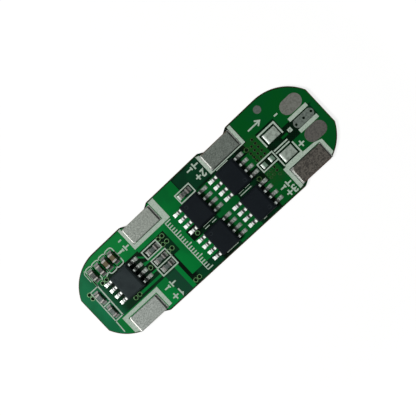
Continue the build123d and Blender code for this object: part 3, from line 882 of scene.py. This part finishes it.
# end lines of the packages: left, right, y and width
endLines = [
    (-1.6, 0.9, -1.5, "faint"), (-1.6, -0.6, -1.95, "hair"), (0.0, 0.9, -1.95, "hair"),
    (6.4, 7.5, -1.5, "faint"), (7.8, 8.8, -1.5, "faint"), (6.4, 8.8, -1.94, "hair"),
    (6.3, 8.8, 3.8, "hair"), (-1.6, 0.9, -7.3, "hair"), (6.6, 7.3, -7.3, "hair"),
]
bm = bmesh.new()
for left, right, y, width in endLines:
    line(bm, [(left, y), (right, y)], inkLook[width])
newPiece("packageEnds", bm, ink)

# terminal marks: signs, cell numbers and cell symbols; most read from the board's far side
strokes = {
    "-": [[(0.1, 0.5), (0.7, 0.5)]],
    "+": [[(0.0, 0.5), (0.94, 0.5)], [(0.47, 0.03), (0.47, 0.97)]],
    "1": [[(0.12, 0.76), (0.36, 1.0), (0.36, 0.0)]],
    "2": [[(0.05, 0.76), (0.16, 0.98), (0.5, 0.98), (0.6, 0.72), (0.08, 0.03), (0.64, 0.03)]],
    "3": [[(0.06, 0.86), (0.24, 1.0), (0.54, 0.94), (0.56, 0.66), (0.28, 0.54),
           (0.6, 0.42), (0.58, 0.1), (0.26, 0.0), (0.05, 0.14)]],
    "cell": [[(0.0, 0.5), (0.8, 0.5)], [(0.8, 0.0), (0.8, 1.0)],
             [(1.25, 0.24), (1.25, 0.76)], [(1.25, 0.5), (2.1, 0.5)]],
    "arrow": [[(0.0, 0.5), (2.3, 0.5)], [(1.7, 0.0), (2.4, 0.5), (1.7, 1.0)]],
    "dot": [[(0.3, 0.3), (0.3, 0.7), (0.7, 0.7), (0.7, 0.3), (0.3, 0.3)]],
}
# sign, place, size, and -1 where it is turned round
marks = [
    ("-", -13.1, 6.9, 1.1, -1), ("cell", -12.85, 5.4, 1.05, -1),
    ("cell", -11.2, -4.3, 1.15, -1), ("1", -11.4, -6.15, 1.2, -1), ("+", -12.4, -6.2, 1.25, -1),
    ("2", 4.9, 5.6, 1.1, -1), ("+", 4.0, 5.6, 1.1, -1), ("cell", 5.0, 7.45, 1.15, -1),
    ("arrow", 14.4, 4.4, 1.05, 1), ("-", 19.9, 4.4, 1.2, -1),
    ("dot", 18.9, -0.1, 1.1, 1), ("+", 19.9, -1.8, 1.2, -1),
    ("cell", 14.1, -5.15, 1.05, -1), ("3", 14.1, -6.4, 1.15, -1), ("+", 13.2, -6.4, 1.15, -1),
]
bm = bmesh.new()
for sign, x, y, size, flip in marks:
    for k, path in enumerate(strokes[sign]):
        points = [(x + flip * u * size, y + flip * v * size) for u, v in path]
        line(bm, points, inkLook["sign"], top=inkLook["top"] + inkLook["lift"] * k)
newPiece("terminalMarks", bm, ink)

# row of plain ticks between the controller and the transistors
rule = {"x": -5.9, "low": -7.2, "high": 3.2, "pitch": 0.52, "short": 0.8, "long": 1.15, "every": 5}
bm = bmesh.new()
line(bm, [(rule["x"], rule["low"]), (rule["x"], rule["high"])], inkLook["spine"])
for i in range(int((rule["high"] - rule["low"]) / rule["pitch"]) + 1):
    y = rule["low"] + i * rule["pitch"]
    reach = rule["short"] if i % rule["every"] else rule["long"]
    tick = [(rule["x"], y), (rule["x"] + reach, y)]
    line(bm, tick, inkLook["thin"], top=inkLook["top"] + inkLook["lift"])
newPiece("tickRow", bm, ink)
print("print finished")


# plated holes under the mask

holeLook = {
    "ring": srgb(92, 134, 84),
    "ringDark": srgb(60, 100, 56),
    "ringLeft": srgb(124, 168, 122),
    "ringRight": srgb(44, 72, 34),
    "leftFade": (-19, -20.5),
    "leftShare": 0.75,
    "rightX": 8,
    "rim": srgb(44, 66, 32),
    "rimDark": srgb(26, 52, 24),
    "ink": srgb(2, 8, 3),
    "inkPale": srgb(14, 34, 16),
    "outer": 0.43,
    "bore": 0.165,
    "foot": 0.99,
    "senseX": (20.75, 22.32, 23.89),
    "senseY": 0.36,
}
holes = [
    (-23.81, 3.22), (-23.81, 2.38), (-20.67, 3.15), (-19.79, 3.15), (-18.205, -2.5), (-17.285, -2.5),
    (-12.795, -0.48), (-8.55, 2.15), (-7.71, 2.15), (-8.55, 0.95), (-7.71, 0.95), (-8.7, -0.5),
    (-7.86, -0.5), (-8.62, -7.12), (-7.78, -7.12), (-2.995, -1.58), (12.185, 2.88), (10.505, -2.0),
]


def holeInk(name, light, dark):
    # mask colour on a raised ring
    paint = Finish(name, Roughness=0.4, Specular_IOR_Level=0.1)
    patch = paint.noise(5, 2)
    paint.tone = paint.mix(paint.step(patch, 0.35, 0.7), light, dark)
    paint.feed(Base_Color=paint.tone)
    paint.bump(patch, 0.006, 0.5)
    return paint


ringInk = holeInk("holeRing", holeLook["ring"], holeLook["ringDark"])
share = ringInk.step(ringInk.x, *holeLook["leftFade"]) * holeLook["leftShare"]
tone = ringInk.mix(share, ringInk.tone, holeLook["ringLeft"])
ringInk.feed(Base_Color=ringInk.mix(ringInk.x > holeLook["rightX"], tone, holeLook["ringRight"]))
rimInk = holeInk("fieldRim", holeLook["rim"], holeLook["rimDark"])
darkInk = Finish("holeInk", Roughness=0.6, Specular_IOR_Level=0.02)
patch = darkInk.step(darkInk.noise(8, 2), 0.4, 0.7)
darkInk.feed(Base_Color=darkInk.mix(patch, holeLook["ink"], holeLook["inkPale"]))


def lathe(bm, x, y, profile, count=24):
    # profile of (radius, height) turned about an upright axis, with one point where the radius is 0
    rings = []
    for radius, height in profile:
        ring = []
        for k in range(count if radius else 1):
            a = 2 * math.pi * k / count
            ring.append(bm.verts.new((x + radius * math.cos(a), y + radius * math.sin(a), height)))
        rings.append(ring)
    for first, second in zip(rings, rings[1:]):
        for k in range(count):
            corners = ((first, k), (first, k + 1), (second, k + 1), (second, k))
            bm.faces.new(list(dict.fromkeys(ring[i % len(ring)] for ring, i in corners)))


outer, bore, foot = holeLook["outer"], holeLook["bore"], holeLook["foot"]
ringProfile = [
    (outer - 0.14, foot), (outer - 0.13, 1.045), (outer - 0.09, 1.055),
    (outer - 0.04, 1.052), (outer, 1.035), (outer, foot),
]
plugProfile = [
    (0, 0.96), (bore * 0.7, 0.985), (bore, 1.03),
    (bore + 0.06, 1.046), (bore + 0.11, 1.044), (bore + 0.125, foot),
]
bm = bmesh.new()
for x, y in holes:
    lathe(bm, x, y, ringProfile)
newPiece("holeRings", bm, ringInk, smooth=40)

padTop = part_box("sense_pad")[1].z / mm
sensePlug = [
    (0, 0.85), (0.15, 1.0), (0.155, padTop),
    (0.19, padTop + 0.006), (0.22, padTop + 0.004), (0.225, padTop - 0.01),
]
bm = bmesh.new()
for x, y in holes:
    lathe(bm, x, y, plugProfile)
    lathe(bm, x, y, [(0, 0.1), (bore * 0.6, 0.07), (bore, 0.01)])  # seen from below
for x in holeLook["senseX"]:
    lathe(bm, x, holeLook["senseY"], sensePlug)
    lathe(bm, x, holeLook["senseY"], [(0, 0.45), (0.16, 0.4)])
newPiece("holeInkPlugs", bm, darkInk, smooth=60)

# fields of small filled holes beside the second transistor column
fieldLook = {
    "columns": (12.3, 13.14, 13.95),
    "rows": (3.5, 2.72, 1.97, 1.2, 0.45),
    "filled": (1, 2, 3, 3, 3),
    "lower": [(13.6, -2.2), (13.6, -2.9)],
    "faint": [(12.8, -2.3), (12.8, -3.05), (12.1, -2.4), (12.1, -3.15), (13.55, -3.65)],
    "radius": 0.17,
    "rim": 0.28,
}
dots = []
for y, filled in zip(fieldLook["rows"], fieldLook["filled"]):
    dots += [(x, y) for x in fieldLook["columns"][-filled:]]
dots += fieldLook["lower"]
radius, rim = fieldLook["radius"], fieldLook["rim"]
rimProfile = [(radius, 1.044), (radius + 0.05, 1.05), (rim - 0.04, 1.044), (rim, 1.03)]
bm = bmesh.new()
for x, y in dots:
    lathe(bm, x, y, [(0, 1.036), (radius, 1.046)], count=16)
newPiece("fieldHoles", bm, darkInk, smooth=60)
bm = bmesh.new()
for x, y in dots + fieldLook["faint"]:
    lathe(bm, x, y, rimProfile, count=18)
newPiece("fieldRims", bm, rimInk, smooth=60)
print("holes finished")
